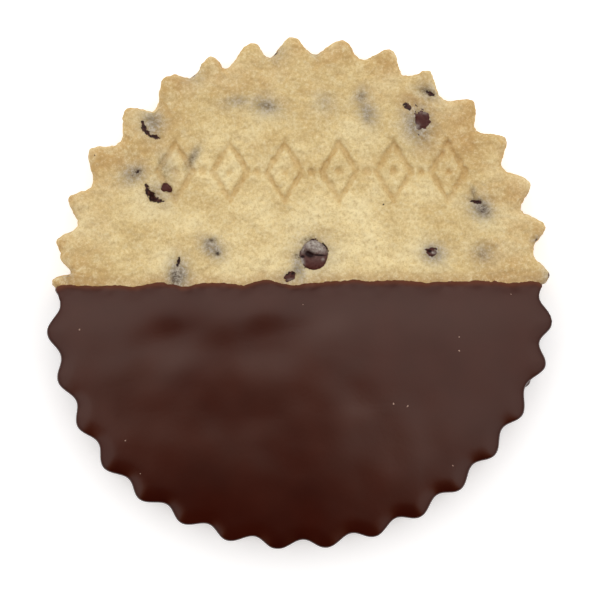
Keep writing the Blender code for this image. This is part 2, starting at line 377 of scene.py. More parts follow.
# chocolate in the cracks and pits of the dough: path with half widths, depth
openings = [
    ([(-23.4, 25.4, 0.22), (-23.1, 24.3, 0.4), (-22.4, 23.6, 0.27)], 0.3),
    ([(-22.4, 23.4, 0.25), (-21.5, 23.15, 0.45), (-20.7, 22.95, 0.15)], 0.4),
    ([(-22.8, 16.1, 0.15), (-22.5, 15.0, 0.45), (-21.9, 14.15, 0.52)], 0.5),
    ([(-21.9, 14.15, 0.52), (-21.1, 13.7, 0.38), (-20.1, 13.6, 0.15)], 0.5),
    ([(-23.95, 18.1, 0.2), (-24.2, 17.8, 0.12)], 0.25),
    ([(-24.9, 17.4, 0.1)], 0.1),
    ([(18.8, 29.95, 0.15), (19.35, 29.65, 0.36), (19.95, 29.45, 0.2)], 0.35),
    ([(15.75, 27.85, 0.5), (16.2, 27.5, 0.4)], 0.1),
    ([(17.15, 27.95, 0.07), (17.55, 27.6, 0.08)], 0.15),
    ([(18.05, 27.35, 0.14), (18.45, 27.2, 0.12)], 0.3),
    ([(17.2, 26.9, 0.13)], 0.15),
    ([(19.35, 26.8, 0.1)], 0.1),
    ([(19.3, 24.8, 0.1)], 0.1),
    ([(17.1, 24.2, 0.12)], 0.15),
    ([(17.55, 23.85, 0.13)], 0.15),
    ([(17.62, 23.5, 0.12)], 0.15),
    ([(25.0, 13.75, 0.1), (25.8, 13.65, 0.18), (26.1, 13.5, 0.27), (26.8, 13.55, 0.26)], 0.45),
    ([(27.4, 12.5, 0.14)], 0.2),
    ([(27.05, 12.1, 0.14)], 0.2),
    ([(-17.9, 5.3, 0.1), (-17.95, 4.75, 0.21), (-18.2, 4.0, 0.15)], 0.35),
    ([(-18.9, 1.9, 0.14), (-18.85, 1.5, 0.1)], 0.1),
    ([(-18.2, 2.05, 0.12)], 0.1),
    ([(-12.15, 5.75, 0.12)], 0.15),
    ([(1.5, 7.85, 0.12), (2.1, 7.95, 0.16), (2.7, 7.8, 0.12)], 0.12),
    ([(3.4, 7.4, 0.14), (3.85, 6.9, 0.13), (4.1, 6.2, 0.14)], 0.1),
    ([(18.75, 6.4, 0.2), (19.3, 6.35, 0.22)], 0.3),
    ([(19.25, 6.75, 0.1), (19.6, 6.6, 0.2), (20.3, 6.55, 0.16)], 0.3),
    ([(19.4, 5.75, 0.16), (19.75, 5.4, 0.13)], 0.25),
    ([(0.7, 3.8, 0.16)], 0.2),
    ([(1.4, 3.6, 0.1)], 0.15),
    ([(-34.4, 2.7, 0.16)], 0.15),
    ([(-30.4, 20.4, 0.12)], 0.15),
    ([(12.4, 13.1, 0.12)], 0.15),
    ([(-19.65, 5.87, 0.1)], 0.1),
    ([(-11.6, 8.55, 0.09)], 0.1),
]

# brown bits on the walls of the teeth: x, y, z, half width
wallSpots = [
    ((-15.6, 32.2, 8.5), 1.0),
    ((-3.4, 35.5, 8.6), 0.95),
    ((37.0, 2.6, 8.6), 0.9),
    ((35.2, 7.9, 9.2), 0.5),
    ((11.2, 35.9, 9.2), 0.35),
    ((2.4, 35.4, 8.8), 0.5),
    ((-34.5, 2.6, 9.3), 0.5),
    ((22.0, 30.0, 5.0), 1.3),
    ((-29.0, 20.6, 4.0), 1.5),
    ((4.0, 36.2, 4.6), 1.1),
    ((33.5, 14.0, 5.6), 1.2),
    ((-34.4, 9.0, 6.2), 1.0),
]

# places that browned more than the rest: middle, half width, strength
browned = [
    ((13.6, 35.0), 1.8, 0.3),
    ((24.6, 28.2), 1.7, 0.35),
    ((31.0, 20.8), 1.6, 0.2),
    ((32.8, 15.4), 2.0, 0.3),
    ((36.0, 9.6), 1.6, 0.3),
    ((-36.6, 7.8), 1.8, 0.2),
    ((-34.6, 13.9), 1.6, 0.2),
    ((-25.4, 27.2), 1.8, 0.25),
    ((-19.0, 31.2), 1.8, 0.3),
    ((-12.6, 34.6), 1.6, 0.2),
    ((-31.4, 20.6), 1.6, 0.2),
    ((16.3, 28.6), 1.1, 0.6),
    ((-18.0, 6.6), 0.8, 0.4),
    ((0.6, 36.4), 1.6, 0.2),
    ((8.0, 36.6), 1.6, 0.25),
]


def faceHeight(flat):
    spread = np.hypot(flat[:, 0], flat[:, 1]) / dough["faceRadius"]
    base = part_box("shortbread")[0].z / mm
    return base + dough["height"] + dough["crown"] * (1.0 - np.minimum(1.0, spread**2))


def relief(points):
    heights = np.zeros(len(points))
    for size, height in dough["relief"]:
        heights += height * unevenness(points, size)
    return heights


def stampShare(flat):
    # 1 on the bottom of the pressed strokes and dots, 0 off them
    share = np.zeros(len(flat))
    slope = math.hypot(1.0 / stamp["halfWidth"], 1.0 / stamp["halfHeight"])
    for i in range(2 * stamp["count"] - 1):
        x = stamp["middle"][0] + (0.5 * i - 0.5 * (stamp["count"] - 1)) * stamp["pitch"]
        across = np.abs(flat[:, 0] - x)
        up = np.abs(flat[:, 1] - stamp["middle"][1])
        gaps = [np.hypot(across, up) / stamp["dot"]]
        if i % 2 == 0:
            line = np.abs(across / stamp["halfWidth"] + up / stamp["halfHeight"] - 1.0) / slope
            gaps.append(line / stamp["stroke"])
        for gap in gaps:
            share = np.maximum(share, 1.0 - smoothStep(0.15, 1.05, gap))
    return share


def thinOutHidden(piece):
    points = pointsOf(piece)
    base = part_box("shortbread")[0].z / mm
    hidden = (points[:, 1] < dough["hiddenBelow"]) | (points[:, 2] < base + dough["hiddenHeight"])
    # a slight unevenness first, or the flat underside thins out into long slivers
    size, height = dough["hiddenRoughness"]
    rough = height * unevenness(points[hidden], size)
    points[hidden] += rough[:, None] * normalsOf(piece)[hidden]
    movePoints(piece, points)
    group = piece.vertex_groups.new(name="hidden")
    group.add([int(i) for i in np.nonzero(hidden)[0]], 1.0, "REPLACE")
    applyModifier(piece, "DECIMATE", ratio=dough["keptShare"], vertex_group="hidden",
                  vertex_group_factor=2.0)
    piece.vertex_groups.clear()


def pushTeeth(points, growth, deepening=0.0):
    angles = aroundRim(points)
    radii = np.hypot(points[:, 0], points[:, 1])
    atRim = smoothStep(*dough["toothRadii"], radii)
    turn = np.zeros(len(points))
    reach = dough["toothReach"]
    outward = growth + deepening * np.clip(radii - dough["middleRadius"], -reach, reach)
    for middle, halfWidth, sideways, out in pushedTeeth:
        share = bell(angleAway(angles, middle), halfWidth)
        turn += sideways * share
        outward += out * share
    angles = np.radians(angles + turn * atRim)
    radii = radii + outward * atRim
    points[:, 0] = radii * np.cos(angles)
    points[:, 1] = radii * np.sin(angles)


# how far the press reaches along x, y and z, and the gap that it leaves to the side
boxEdge = {"rooms": (0.35, 0.35, 0.12), "gap": 0.01}


def keepInBox(points):
    # what swells towards the side of the measured box is pressed flat just inside it
    for axis, room in enumerate(boxEdge["rooms"]):
        high = cadBox[1][axis] / mm - boxEdge["gap"]
        past = np.maximum(points[:, axis] - (high - room), 0.0)
        points[:, axis] = np.minimum(points[:, axis], high - room) + room * np.tanh(past / room)
        if axis < 2:
            low = cadBox[0][axis] / mm + boxEdge["gap"]
            past = np.maximum(low + room - points[:, axis], 0.0)
            points[:, axis] = np.maximum(points[:, axis], low + room) - room * np.tanh(past / room)
    points[:, 2] = np.maximum(points[:, 2], 0.0)


def pressFace(piece):
    # the face is laid level, then the stamp, the cracks and the seats of the chips go into it
    points = pointsOf(piece)
    flat = points[:, :2]
    face = faceHeight(flat)
    radii = np.hypot(flat[:, 0], flat[:, 1])
    level = (points[:, 2] > dough["levelledAbove"]) & (radii < dough["levelledRadius"])
    points[:, 2] = np.where(level, face, np.minimum(points[:, 2], face))
    onFace = smoothStep(*dough["faceDepth"], points[:, 2] - face)
    pressedAndShaded = stampShare(flat)
    points[:, 2] -= onFace * stamp["depth"] * pressedAndShaded
    exposed = np.zeros(len(points))
    for path, depth in openings:
        gap = crackShare(flat, path)
        points[:, 2] -= onFace * depth * bell(gap, dough["crackWidth"])
        exposed = np.maximum(exposed, onFace * (1.0 - smoothStep(*dough["crackShown"], gap)))
    for chip in chips:
        along, across = turned(flat, chip["at"], chip["turn"])
        gap = 2.0 * np.hypot(along / chip["size"][0], across / chip["size"][1])
        points[:, 2] -= onFace * chip["seat"] * smoothStep(*chipShape["seatEdge"], gap)
    movePoints(piece, points)
    return pressedAndShaded * onFace, exposed


def makeDough():
    piece = copyOfNode("shortbread", "doughRound")
    voxelMesh(piece, dough["voxel"])
    thinOutHidden(piece)
    soften(piece, dough["smoothing"])
    points = pointsOf(piece)
    atRim = smoothStep(*dough["lobeRadii"], np.hypot(points[:, 0], points[:, 1]))
    points[:, :2] += dough["lobes"] * atRim[:, None] * normalsOf(piece)[:, :2]
    pushTeeth(points, dough["growth"], dough["deepening"])
    movePoints(piece, points)
    pressedAndShaded, exposed = pressFace(piece)
    soften(piece, 1)
    points = pointsOf(piece)
    points += relief(points)[:, None] * normalsOf(piece)
    keepInBox(points)
    movePoints(piece, points)
    paintDough(piece, points, pressedAndShaded, exposed)
    finishPiece(piece, doughMaterial(), "shortbread")
    return piece


def paintDough(piece, points, pressedAndShaded, exposed):
    flat = points[:, :2]
    onFace = smoothStep(*dough["faceDepth"], points[:, 2] - faceHeight(flat))
    radii = np.hypot(flat[:, 0], flat[:, 1])
    toast = np.full(len(points), dough["toast"])
    for low, high, more in dough["toastOutwards"]:
        toast += more * smoothStep(low, high, radii)
    for high, low, more in dough["toastDownwards"]:
        toast += more * smoothStep(high, low, points[:, 2])
    upper = smoothStep(*dough["brownedHeights"], points[:, 2])
    for middle, halfWidth, strength in browned:
        spot = spotShare(flat, middle, (halfWidth, halfWidth), 0)
        toast += dough["browning"] * strength * upper * spot
    grey = onFace * strongestSpot(flat, greySpots, dough["greySpread"])
    core, brownness = dough["wallSpotBrown"]
    reach, greyness = dough["wallSpotGrey"]
    for middle, halfWidth in wallSpots:
        gap = np.linalg.norm(points - np.array(middle), axis=1) / halfWidth
        exposed = np.maximum(exposed, brownness * (1.0 - smoothStep(core, 1.0, gap)))
        grey = np.maximum(grey, greyness * bell(gap, reach))
    paintValue(piece, "toast", toast)
    paintValue(piece, "greyness", grey)
    paintValue(piece, "smudge", onFace * strongestSpot(flat, smudges))
    paintValue(piece, "exposed", exposed)
    # the stamp's share, which also paints shade into its grooves
    paintValue(piece, "pressedAndShaded", pressedAndShaded)


# noise in the crumb: size, detail, roughness
crumbNoise = {
    "patches": (6.0, 2.0, 0.5),
    "stains": (4.0, 3.0, 0.5),
    "clumps": (2.0, 5.0, 0.8),
    "grain": (0.45, 4.0, 0.8),
    "specks": (0.5, 3.0, 0.75),
    "ragged": (0.45, 3.0, 0.7),
    "crumbly": (0.35, 2.0, 0.5),
}

# tints over the browned dough: noise or painted value, from, to, most of the colour, colour
crumbTints = [
    ("stains", 0.48, 0.66, 0.5, (204, 174, 116)),
    ("stains", 0.5, 0.34, 0.45, (253, 238, 190)),
    # darker and browner beside the dip line
    ("darkerByLip", 0.0, 1.0, 0.6, (178, 140, 92)),
    ("clumps", 0.52, 0.36, 0.42, (188, 152, 94)),
    ("clumps", 0.5, 0.64, 0.42, (248, 231, 184)),
    ("grain", 0.5, 0.34, 0.42, (178, 146, 92)),
    ("grain", 0.52, 0.66, 0.4, (250, 238, 200)),
    # painted shade: the pressed strokes and dots are darkened as if shade falls in them
    ("pressedAndShaded", 0.1, 1.0, 0.35, (190, 152, 92)),
]

doughLook = {
    "browning": [(0.0, (251, 230, 174)), (0.6, (229, 203, 145)), (1.0, (206, 168, 110))],
    "patchiness": 0.2,
    "bloomDark": (100, 88, 70),
    "bloomPale": (195, 183, 164),
    "smudge": (76, 64, 56),
    "crackDark": (42, 15, 12),
    "crackPale": (88, 48, 38),
    "roughness": 0.85,
    "crackRoughness": 0.5,
    "shine": 0.25,
    "bumpHeight": 0.09,
}


def doughMaterial():
    material, tree, surface = newMaterial("bakedDough")
    place = addNode(tree, "ShaderNodeTexCoord").outputs["Object"]
    noises = {}
    for name, (size, detail, roughness) in crumbNoise.items():
        noises[name] = noiseValue(tree, place, size * mm, detail, roughness)

    patchiness = doughLook["patchiness"]
    spread = stretch(tree, noises["patches"], 0.3, 0.7, -patchiness, patchiness)
    browning = calculate(tree, "ADD", readValue(tree, "toast"), spread)
    ramp = addNode(tree, "ShaderNodeValToRGB", {"Fac": browning})
    stops = ramp.color_ramp.elements
    stops.new(0.5)
    for stop, (position, colour) in zip(stops, doughLook["browning"]):
        stop.position = position
        stop.color = paint(*colour)
    colour = ramp.outputs["Color"]
    for name, low, high, most, tint in crumbTints:
        value = noises[name] if name in noises else readValue(tree, name)
        colour = mixColour(tree, stretch(tree, value, low, high, 0.0, most), colour, paint(*tint))

    # grey bloom over sunken chips, and darker smudges in it, both broken up by specks
    specks = noises["specks"]
    bloomDark = paint(*doughLook["bloomDark"])
    bloomPale = paint(*doughLook["bloomPale"])
    bloom = mixColour(tree, stretch(tree, specks, 0.38, 0.6), bloomDark, bloomPale)
    uneven = stretch(tree, specks, 0.35, 0.6, 0.7, 1.5)
    shade = calculate(tree, "MULTIPLY", readValue(tree, "greyness"), uneven)
    colour = mixColour(tree, shade, colour, bloom)
    uneven = stretch(tree, specks, 0.6, 0.35, 0.5, 1.4)
    shade = calculate(tree, "MULTIPLY", readValue(tree, "smudge"), uneven)
    colour = mixColour(tree, shade, colour, paint(*doughLook["smudge"]))

    # chocolate in the cracks, with a ragged edge
    ragged = stretch(tree, noises["ragged"], 0.3, 0.7, -0.45, 0.35)
    shown = stretch(tree, calculate(tree, "ADD", readValue(tree, "exposed"), ragged), 0.4, 0.62)
    crackDark = paint(*doughLook["crackDark"])
    crackPale = paint(*doughLook["crackPale"])
    inside = mixColour(tree, stretch(tree, noises["crumbly"], 0.45, 0.72), crackDark, crackPale)
    colour = mixColour(tree, shown, colour, inside)
    tree.links.new(colour, surface.inputs["Base Color"])
    rough = stretch(tree, shown, 0.0, 1.0, doughLook["roughness"], doughLook["crackRoughness"])
    tree.links.new(rough, surface.inputs["Roughness"])
    surface.inputs["Specular IOR Level"].default_value = doughLook["shine"]
    heights = calculate(tree, "ADD", noises["grain"], noises["clumps"])
    addBump(tree, surface, heights, doughLook["bumpHeight"] * mm, 0.9)
    return material


# the chips that break through the face: middle, sizes, turn, how far the seat sinks and the top
# stands up, grey film (on the large chip also a painted highlight) and hollows, painted near black
# as shade, with their half sizes
chips = [
    {"name": "largeChip", "at": (2.05, 5.6), "size": (3.9, 4.15), "turn": 10, "rough": 0.06,
     "seat": 0.6, "top": 0.08,
     "filmAndHighlight": [((2.2, 6.95), (2.1, 1.2), 0.95), ((0.75, 6.35), (0.6, 0.45), 1.0),
              # the first spot below is a painted highlight on the chip's lower right, in the film's grey
              ((3.45, 5.0), (0.3, 0.25), 0.4), ((0.25, 4.6), (0.4, 0.8), 0.9)],
     "dents": [((1.45, 5.75), (0.85, 0.55), -20, 0.42), ((2.9, 5.6), (1.1, 0.15), -3, 0.18),
               ((0.45, 5.4), (0.35, 0.22), 0, 0.15)]},
    {"name": "chipByLine", "at": (-1.5, 2.5), "size": (1.9, 1.4), "turn": 30, "rough": 0.35,
     "seat": 0.2, "top": 0.02,
     "filmAndHighlight": [((-1.2, 1.95), (0.6, 0.2), 0.4)],
     "dents": [((-1.9, 2.9), (0.5, 0.3), 30, 0.12), ((-1.0, 2.9), (0.3, 0.2), 30, 0.1)]},
    {"name": "chipOnRight", "at": (18.15, 25.6), "size": (2.2, 3.0), "turn": 5, "rough": 0.28,
     "seat": 0.2, "top": 0.0,
     "filmAndHighlight": [((17.4, 24.7), (0.4, 0.5), 0.6), ((18.2, 26.7), (0.9, 0.25), 0.4)],
     "dents": []},
    {"name": "chipLowRight", "at": (19.7, 6.05), "size": (1.4, 1.05), "turn": -15, "rough": 0.5,
     "seat": 0.15, "top": 0.0,
     "filmAndHighlight": [((19.9, 6.0), (0.35, 0.2), 1.0)],
     "dents": [((19.3, 6.2), (0.3, 0.25), 0, 0.2)]},
    {"name": "chipInStamp", "at": (-19.7, 15.5), "size": (1.6, 1.3), "turn": -30, "rough": 0.3,
     "seat": 0.35, "top": -0.12,
     "filmAndHighlight": [],
     "dents": []},
]

chipShape = {
    "centreDepth": 0.55,
    "halfHeight": 1.0,
    "reach": 1.12,
    "seatEdge": (1.12, 0.92),  # the seat in the dough falls between these shares of the chip's size
    "shoulder": 0.22,
    "softness": 0.3,
    "topDepth": 0.4,  # dents and film fade out this far under the shoulder
    "wallStretch": (1.0, 1.0, 0.3),
    "noiseShift": 3.0,  # gives every chip an outline of its own
    "fineSize": 0.4,
    "filmRelief": (0.45, 0.14),  # size and height
    "skinRelief": (0.8, 0.05),
}


def makeChip(chip):
    x, y = chip["at"]
    face = faceHeight(np.array([chip["at"]]))[0] + chip["top"]
    bpy.ops.mesh.primitive_ico_sphere_add(subdivisions=6, radius=1.0)
    piece = bpy.context.view_layer.objects.active
    piece.name = chip["name"]
    halfSizes = [0.5 * chipShape["reach"] * size for size in chip["size"]]
    piece.scale = [half * mm for half in (*halfSizes, chipShape["halfHeight"])]
    piece.rotation_euler = (0.0, 0.0, math.radians(chip["turn"]))
    piece.location = (x * mm, y * mm, (face - chipShape["centreDepth"]) * mm)
    pickOnly(piece)
    bpy.ops.object.transform_apply(location=True, rotation=True, scale=True)
    points = pointsOf(piece)
    middle = np.array((x, y, face - chipShape["centreDepth"]))
    places = (points - middle) * np.array(chipShape["wallStretch"]) + chipShape["noiseShift"] * x
    outline = 1.0 + chip["rough"] * unevenness(places, 0.5 * chip["size"][0])
    outline += 0.5 * chip["rough"] * unevenness(places, chipShape["fineSize"])
    points = middle + (points - middle) * outline[:, None]
    shoulder = face - chipShape["shoulder"]
    above = np.maximum(points[:, 2] - shoulder, 0.0) / chipShape["softness"]
    points[:, 2] = np.minimum(points[:, 2], shoulder) + chipShape["softness"] * np.tanh(above)
    flat = points[:, :2]
    onTop = smoothStep(-chipShape["topDepth"], 0.0, points[:, 2] - shoulder)
    sunk = np.zeros(len(points))
    for at, halfSizes, turn, depth in chip["dents"]:
        share = spotShare(flat, at, halfSizes, turn)
        points[:, 2] -= onTop * depth * share
        sunk = np.maximum(sunk, onTop * share)
    filmAndHighlight = np.zeros(len(points))
    for at, halfSizes, strength in chip["filmAndHighlight"]:
        filmAndHighlight = np.maximum(filmAndHighlight, strength * onTop * spotShare(flat, at, halfSizes, 0))
    size, height = chipShape["filmRelief"]
    points[:, 2] += height * filmAndHighlight * unevenness(points, size)
    movePoints(piece, points)
    size, height = chipShape["skinRelief"]
    movePoints(piece, points + height * unevenness(points, size)[:, None] * normalsOf(piece))
    paintValue(piece, "filmAndHighlight", filmAndHighlight * (1.0 - sunk))
    paintValue(piece, "sunk", sunk)
    return piece


def makeChips():
    piece = joinPieces([makeChip(chip) for chip in chips], "chocolateChips")
    finishPiece(piece, chipMaterial())


chipLook = {
    "dark": (66, 29, 25),
    "pale": (89, 50, 44),
    # grey of the film, also used for the painted highlight on the large chip
    "filmAndHighlight": (184, 175, 164),
    # painted shade: the near black of the chips' hole and crease
    "hollow": (32, 10, 10),
    "cloudSize": 0.5,
    "speckSize": 0.6,
    "roughness": 0.4,
    "shine": 0.15,
    "bumpHeight": 0.06,
}


def chipMaterial():
    material, tree, surface = newMaterial("bakedChip")
    place = addNode(tree, "ShaderNodeTexCoord").outputs["Object"]
    cloudy = noiseValue(tree, place, chipLook["cloudSize"] * mm, 4.0, 0.75)
    dark = paint(*chipLook["dark"])
    pale = paint(*chipLook["pale"])
    colour = mixColour(tree, stretch(tree, cloudy, 0.3, 0.7), dark, pale)
    specks = noiseValue(tree, place, chipLook["speckSize"] * mm, 3.0, 0.7)
    uneven = stretch(tree, specks, 0.33, 0.62, 0.25, 1.3)
    filmAndHighlight = calculate(tree, "MULTIPLY", readValue(tree, "filmAndHighlight"), uneven)
    colour = mixColour(tree, filmAndHighlight, colour, paint(*chipLook["filmAndHighlight"]))
    # painted shade: the dents are painted near black, as shade in the hole and crease
    hollow = stretch(tree, readValue(tree, "sunk"), 0.2, 0.7)
    colour = mixColour(tree, hollow, colour, paint(*chipLook["hollow"]))
    tree.links.new(colour, surface.inputs["Base Color"])
    surface.inputs["Roughness"].default_value = chipLook["roughness"]
    surface.inputs["Specular IOR Level"].default_value = chipLook["shine"]
    addBump(tree, surface, cloudy, chipLook["bumpHeight"] * mm, 0.5)
    return material


# the coat: a pillow of chocolate that thins out to its lip, with a hollow for the biscuit

coat = {
    "voxel": 0.3,
    "growth": 0.12,  # evens out what the smoothing takes off the teeth
    "toothGrowth": 0.08,
    "innerReach": 0.42,  # faces of the hollow lie this close to the biscuit
    "firstSmoothing": 14,
    "lastSmoothing": 4,
    "overlap": 0.08,  # it bites this far into the dough, so no gap shows
    "topAbove": 10.0,
    "faceHeights": (8.5, 10.4),  # what is done to the face fades in between these heights
    "stretch": 0.6,  # lifts the walls to the level where the face is cut
    "stretchedHeights": (6.0, 9.0),
    "lipHeight": 0.08,
    "fullHeight": 1.0,
    "thinning": 1.5,
    "thinnedReach": 6.0,
    "wallsBelow": 9.4,
    "rimAngles": (175.0, 366.0, 0.4),  # from, to and step, in degrees
    "rimWindow": 0.5,
    "rimWidth": 3.0,  # the face falls a little over this width, then round its edge
    "rimDrop": 0.35,
    "edgeRadius": 0.45,
    "ragged": (2.2, 0.1),  # size and height of the line's raggedness
    "raggedRow": (5.0, 0.3),  # it is nearly the same all the way down the wall
    "lineHeight": 10.5,
    "liftedReach": (3.0, 0.6),
    "frayed": (0.8, 0.16),
    "frayedWidth": 0.7,
    "frayedHeights": (8.0, 9.5),
    "swell": (9.0, 0.025),
    "thinWidth": 1.0,
    "steepness": (0.2, 0.8),
    "darkerByLipWidth": 2.2,  # the dough beside the lip is darker over this width
    "evenGloss": 0.7,  # share of the most shine that it has where no place is noted
}

# how far the dip line climbs over the cut one: base, then x, half width and rise of each wave
lineRise = 0.4
lineWaves = [
    (-35.0, 2.4, 0.2), (-24.0, 1.8, -0.28), (-18.3, 0.5, 0.3), (-13.5, 3.0, 0.22), (-8.2, 0.8, -0.2),
    (-2.0, 1.5, 0.36), (4.0, 1.5, 0.2), (13.5, 3.0, 0.35), (18.9, 0.7, -0.15), (31.3, 2.2, -0.33),
]

# dents of the set face: middle, half sizes to the side, above and below, turn, depth
faceDents = [
    ((-18.8, -7.1), (5.8, 3.8, 6.5), 18, 0.13),
    ((-4.7, -6.7), (7.3, 3.6, 6.5), 14, 0.13),
    ((-27.0, -16.5), (6.0, 4.0, 4.0), 0, 0.03),
    ((-13.5, -17.5), (8.0, 5.5, 7.0), 0, 0.08),
    ((-3.5, -19.0), (6.5, 5.5, 8.0), 0, 0.075),
    ((9.3, -16.2), (2.8, 4.5, 2.2), 0, 0.022),
]

# where it set with less shine, or with more below 0: middle, half sizes, turn, share that is lost
shinePlaces = [
    ((-18.2, -4.2), (5.5, 2.5), 8, 0.4),
    ((-6.5, -5.3), (8.5, 2.7), 18, 0.3),
    ((-14.5, -13.8), (6.5, 2.8), 0, 0.22),
    ((-15.5, -12.0), (4.5, 2.0), 35, 0.22),
    ((-9.6, -17.8), (5.0, 2.2), 0, 0.22),
    ((20.0, -10.5), (10.0, 4.0), -5, 0.12),
    ((-17.8, -9.6), (4.5, 1.8), 15, -0.17),
    ((-5.9, -10.3), (5.0, 1.8), 10, -0.15),
    ((4.2, -5.0), (4.0, 2.2), 10, -0.26),
    ((9.0, -17.7), (3.2, 2.4), 0, -0.28),
    ((-23.0, -12.0), (3.5, 2.5), 0, -0.13),
    ((15.5, -21.7), (6.0, 3.0), 10, -0.2),
    ((-14.0, -30.5), (6.0, 3.5), -20, 0.6),
    ((1.0, -34.0), (12.0, 4.5), 0, 0.45),
    ((-2.0, -24.5), (6.5, 4.5), 0, 0.25),
    ((-27.2, -24.9), (10.0, 2.5), -44, 0.25),
    ((17.0, -33.0), (8.0, 2.2), 27, 0.2),
    ((23.5, -24.0), (9.0, 2.5), 44, 0.15),
    ((33.0, -8.0), (4.0, 7.0), 0, 0.13),
]

# where chocolate ran out over the table: angle and half width in degrees, the rest in millimetres
foot = {"angle": 338.3, "halfWidth": 1.7, "push": 1.0, "height": 3.0, "radii": (32.0, 35.0)}


def innerFaces(shell, biscuit):
    tree = BVHTree.FromObject(biscuit, bpy.context.evaluated_depsgraph_get())
    found = []
    for face in shell.data.polygons:
        nearest, _, _, distance = tree.find_nearest(face.center)
        toward = (nearest - face.center).normalized()
        if distance < coat["innerReach"] * mm and face.normal.dot(toward) > 0.5:
            found.append(face.index)
    return found


def fillHollow(piece):
    # the walls of the hollow go, and its edge on the lip is closed, so that the coat is solid
    biscuit = copyOfNode("shortbread", "biscuitInside")
    inner = innerFaces(piece, biscuit)
    bpy.data.objects.remove(biscuit)
    for part in (piece.data.vertices, piece.data.edges, piece.data.polygons):
        part.foreach_set("select", [False] * len(part))
    for index in inner:
        piece.data.polygons[index].select = True
    pickOnly(piece)
    bpy.ops.object.mode_set(mode="EDIT")
    bpy.ops.mesh.select_mode(type="FACE")
    bpy.ops.mesh.delete(type="FACE")
    bpy.ops.mesh.select_mode(type="EDGE")
    bpy.ops.mesh.select_all(action="DESELECT")
    bpy.ops.mesh.select_non_manifold()
    bpy.ops.mesh.fill(use_beauty=True)
    bpy.ops.object.mode_set(mode="OBJECT")


def lipLine(points):
    # y of the dip line at every half millimetre of x, read from the coat's own lip
    onTop = points[:, 2] > coat["topAbove"]
    places = np.round(points[onTop, 0] * 2.0).astype(int)
    steps = np.arange(places.min() + 3, places.max() - 2)
    line = [points[onTop, 1][np.abs(places - step) <= 1].max() for step in steps]
    return steps / 2.0, np.array(line)


def liftLine(points):
    rise = np.full(len(points), lineRise)
    for x, halfWidth, height in lineWaves:
        rise += height * bell(points[:, 0] - x, halfWidth)
    row, wallStretch = coat["raggedRow"]
    places = np.column_stack([points[:, 0], np.full(len(points), row), wallStretch * points[:, 2]])
    size, height = coat["ragged"]
    return rise + height * unevenness(places, size)


def rimGap(points):
    # how far each point lies inside the coat's outline, seen from above
    angles = aroundRim(points)
    radii = np.hypot(points[:, 0], points[:, 1])
    steps = np.arange(*coat["rimAngles"])
    near = (np.abs(angleAway(angles, step)) < coat["rimWindow"] for step in steps)
    reach = np.array([radii[close].max() for close in near])
    reach = np.convolve(np.pad(reach, 1, mode="edge"), (0.25, 0.5, 0.25), mode="valid")
    outline = kdtree.KDTree(4 * len(steps))
    for i, angle in enumerate(np.linspace(steps[0], steps[-1], 4 * len(steps))):
        radius = np.interp(angle, steps, reach)
        way = math.radians(angle)
        outline.insert((radius * math.cos(way), radius * math.sin(way), 0.0), i)
    outline.balance()
    return np.array([outline.find((x, y, 0.0))[2] for x, y, _ in points])


def pillowTop(points, thickness, below):
    # the set face: flat in the middle, falling softly to the rim, and close to the crumb at the lip
    level = faceHeight(points[:, :2])
    level += bell(below, coat["thinning"]) * relief(np.column_stack([points[:, :2], level]))
    gap = rimGap(points)
    drop = coat["rimDrop"] * (1.0 - np.minimum(gap / coat["rimWidth"], 1.0)) ** 3
    fromEdge = np.maximum(coat["edgeRadius"] - gap, 0.0)
    drop += coat["edgeRadius"] - np.sqrt(coat["edgeRadius"]**2 - fromEdge**2)
    full = coat["lipHeight"] + coat["fullHeight"]
    return level + thickness - drop * thickness / full


def thinToLip(points, line, doughTree):
    # the coat gets thinner towards the dip line, over the face, the walls and the underside
    below = np.maximum(np.interp(points[:, 0], *line) - points[:, 1], 0.0)
    thickness = coat["lipHeight"] + coat["fullHeight"] * (1.0 - np.exp(-below / coat["thinning"]))
    onWall = points[:, 2] <= coat["wallsBelow"] + coat["stretch"]
    points[:, 2] = np.minimum(points[:, 2], pillowTop(points, thickness, below))
    for i in np.nonzero((below < coat["thinnedReach"]) & onWall)[0]:
        point = Vector(points[i])
        nearest, normal, _, distance = doughTree.find_nearest(point * mm)
        nearest = nearest / mm
        distance = distance / mm
        if distance > thickness[i] and (point - nearest).dot(normal) > 0.0:
            points[i] = nearest + (point - nearest) * (thickness[i] / distance)


def shapeCoat(piece, doughTree):
    points = pointsOf(piece)
    x, y = lipLine(points)
    below = np.interp(points[:, 0], x, y) - points[:, 1]
    points[:, 1] += liftLine(points) * smoothStep(*coat["liftedReach"], below)
    line = (x, y + liftLine(np.column_stack([x, y, np.full(len(x), coat["lineHeight"])])))
    points[:, 2] += coat["stretch"] * smoothStep(*coat["stretchedHeights"], points[:, 2])
    thinToLip(points, line, doughTree)
    pushTeeth(points, coat["toothGrowth"])
    radii = np.hypot(points[:, 0], points[:, 1])
    push = foot["push"] * bell(angleAway(aroundRim(points), foot["angle"]), foot["halfWidth"])
    push = push * smoothStep(foot["height"], 0.5 * foot["height"], points[:, 2])
    push = push * smoothStep(*foot["radii"], radii)
    points[:, :2] *= (1.0 + push / np.maximum(radii, 1.0))[:, None]
    movePoints(piece, points)
    return line


def dentShare(flat, middle, halfSizes, turn):
    along, across = turned(flat, middle, turn)
    halfHeight = np.where(across > 0.0, halfSizes[1], halfSizes[2])
    return np.exp(-((along / halfSizes[0]) ** 2) - (across / halfHeight) ** 2)


